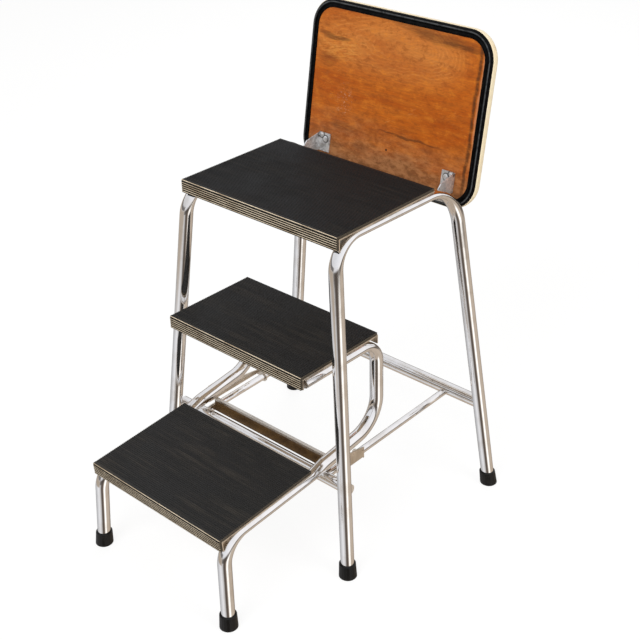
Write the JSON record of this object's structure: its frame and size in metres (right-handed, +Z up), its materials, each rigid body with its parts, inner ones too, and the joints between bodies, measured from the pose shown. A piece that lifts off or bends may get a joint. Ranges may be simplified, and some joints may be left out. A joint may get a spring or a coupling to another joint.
{
  "type": "folding step stool chair",
  "caption": "Chromed tube stool with ribbed rubber treads, a step unit that slides back under it and a padded seat that folds down over the top.",
  "frame": {"origin": "on the floor, at the centre of the part's bounding box across and front to back, with the steps out and the seat up", "axes": "+X to the right of a person on the steps, +Y from the steps towards the seat, +Z up"},
  "size_m": [0.5032, 0.6368, 0.7838],
  "materials": {
    "chrome": "polished",
    "plated_sheet": "dull nickel plate",
    "zinc": "mottled zinc plate",
    "rubber": "matt",
    "brown_steel": "satin",
    "wood": "worn varnish",
    "black_trim": "satin",
    "cream_cover": "coated cloth"
  },
  "bodies": {
    "frame": {"side_frame_left": "chrome", "side_frame_right": "chrome", "cross_tube_front": "chrome", "cross_tube_rear": "chrome", "guide_rod_left": "chrome", "guide_rod_right": "chrome", "tread_pan_top": "plated_sheet", "tread_mat_top": "rubber", "foot_front_left": "rubber", "foot_front_right": "rubber", "foot_rear_left": "rubber", "foot_rear_right": "rubber", "hinge_pin_left": "zinc", "hinge_pin_right": "zinc"},
    "guide_carriage": {"guide_plate_left": "plated_sheet", "guide_plate_right": "plated_sheet"},
    "step_unit": {"step_side_tube_left": "chrome", "step_side_tube_right": "chrome", "tube_end_cap_left": "chrome", "tube_end_cap_right": "chrome", "tread_pan_middle": "plated_sheet", "tread_mat_middle": "rubber", "tread_pan_lower": "plated_sheet", "tread_mat_lower": "rubber", "foot_step_left": "rubber", "foot_step_right": "rubber", "stretcher_bar": "brown_steel"},
    "seat": {"seat_board": "wood", "seat_trim": "black_trim", "seat_cushion": "cream_cover", "seat_bracket_left": "zinc", "seat_bracket_right": "zinc", "bracket_rivet_inner_left": "zinc", "bracket_rivet_inner_right": "zinc", "bracket_rivet_outer_left": "zinc", "bracket_rivet_outer_right": "zinc"}
  },
  "joints": [
    {"name": "step_slide", "type": "slide", "parent": "frame", "child": "guide_carriage", "axis": [0, 0.9997, 0.0254], "range_m": [0, 0.158]},
    {"name": "step_lift", "type": "hinge", "parent": "guide_carriage", "child": "step_unit", "pos_m": [0, -0.03319, 0.17441], "axis": [-1, 0, 0], "range_deg": [0, 3.7]},
    {"name": "seat_fold", "type": "hinge", "parent": "frame", "child": "seat", "pos_m": [0, 0.20431, 0.5377], "axis": [1, 0, 0], "range_deg": [0, 100]}
  ],
  "couplings": [
    {"joint": "step_lift", "follows": "step_slide", "rad_per_m": 0.4}
  ]
}
